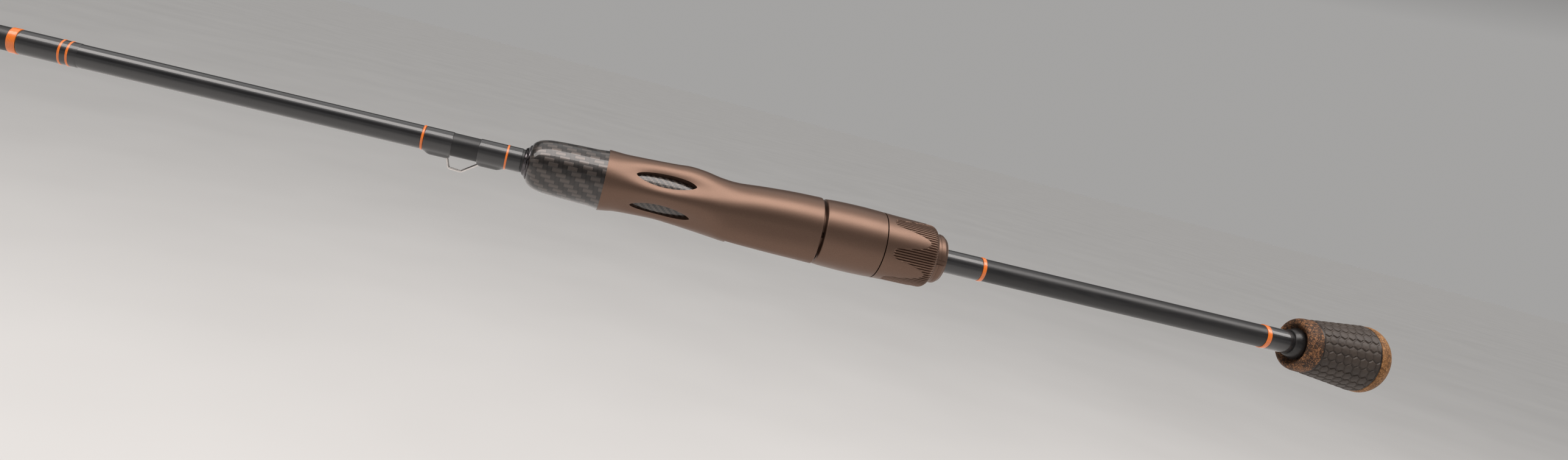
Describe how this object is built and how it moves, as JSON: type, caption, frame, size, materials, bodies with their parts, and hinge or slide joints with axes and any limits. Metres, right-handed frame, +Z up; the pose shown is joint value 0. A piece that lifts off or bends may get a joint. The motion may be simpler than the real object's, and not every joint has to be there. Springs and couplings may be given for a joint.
{
  "type": "spinning rod",
  "caption": "Spinning fishing rod with a carbon foregrip, screw-lock reel seat, hook keeper, ring guides and a butt knob.",
  "frame": {"origin": "centre of the butt end, on the rod's axis", "axes": "+X from the tip towards the butt along the rod's axis, +Z up with the reel seat's foot channel, the guides and the hook keeper on the -Z side"},
  "size_m": [1.9809, 0.0276, 0.0545],
  "materials": {
    "blank_satin": "satin black carbon composite",
    "clear_gloss": "clear gloss coat over black",
    "black_wrap": "black thread under clear epoxy",
    "orange_thread": "orange thread under clear epoxy",
    "carbon_weave": "clear-coated twill weave",
    "seat_plastic": "satin champagne-grey metallic paint",
    "foam": "closed-cell foam",
    "steel_wire": "polished stainless wire",
    "dark_metal": "dark polished",
    "guide_frame": "black polished",
    "ceramic": "polished dark ceramic",
    "burl_cork": "burl cork composite",
    "black_rubber": "smooth black rubber",
    "grip_rubber": "matt rubber with hexagon relief"
  },
  "bodies": {
    "rod": {"arbor_bushings": "foam", "carbon_arbor_tube": "carbon_weave", "foregrip_core": "foam", "foregrip_shell": "carbon_weave", "front_twin_bands": "orange_thread", "front_wide_band": "orange_thread", "front_winding_check": "dark_metal", "front_wrap": "black_wrap", "guide_1_frame": "guide_frame", "guide_1_ring": "ceramic", "guide_1_wraps": "black_wrap", "guide_2_frame": "guide_frame", "guide_2_ring": "ceramic", "guide_2_wraps": "black_wrap", "guide_3_frame": "guide_frame", "guide_3_ring": "ceramic", "guide_3_wraps": "black_wrap", "guide_4_frame": "guide_frame", "guide_4_ring": "ceramic", "guide_4_wraps": "black_wrap", "guide_5_frame": "guide_frame", "guide_5_ring": "ceramic", "guide_5_wraps": "black_wrap", "guide_6_frame": "guide_frame", "guide_6_ring": "ceramic", "guide_6_wraps": "black_wrap", "guide_7_frame": "guide_frame", "guide_7_ring": "ceramic", "guide_7_wraps": "black_wrap", "guide_trim_bands": "orange_thread", "hook_keeper": "steel_wire", "keeper_bands": "orange_thread", "keeper_wrap_front": "black_wrap", "keeper_wrap_rear": "black_wrap", "knob_accent_ring_front": "black_rubber", "knob_accent_ring_rear": "black_rubber", "knob_core": "foam", "knob_end_cap": "burl_cork", "knob_front_band": "orange_thread", "knob_front_ring": "burl_cork", "knob_front_wrap": "black_wrap", "knob_grip_sleeve": "grip_rubber", "knob_winding_check": "black_rubber", "label_coat": "clear_gloss", "reel_seat_body": "seat_plastic", "rod_blank": "blank_satin", "seat_rear_band": "orange_thread", "seat_rear_wrap": "black_wrap", "tip_top_frame": "guide_frame", "tip_top_ring": "ceramic", "tip_top_tube": "guide_frame", "tip_wrap": "black_wrap"},
    "sliding_hood": {"sliding_hood": "seat_plastic"},
    "locking_nut": {"locking_nut": "seat_plastic"}
  },
  "joints": [
    {"name": "hood_slide", "type": "slide", "parent": "rod", "child": "sliding_hood", "axis": [1, 0, 0], "range_m": [0, 0.015]},
    {"name": "nut_turn", "type": "hinge", "parent": "sliding_hood", "child": "locking_nut", "pos_m": [-0.2102, 0, 0], "axis": [1, 0, 0], "range_deg": [0, 3600]}
  ],
  "couplings": [
    {"joint": "nut_turn", "follows": "hood_slide", "rad_per_m": 4188.8}
  ]
}
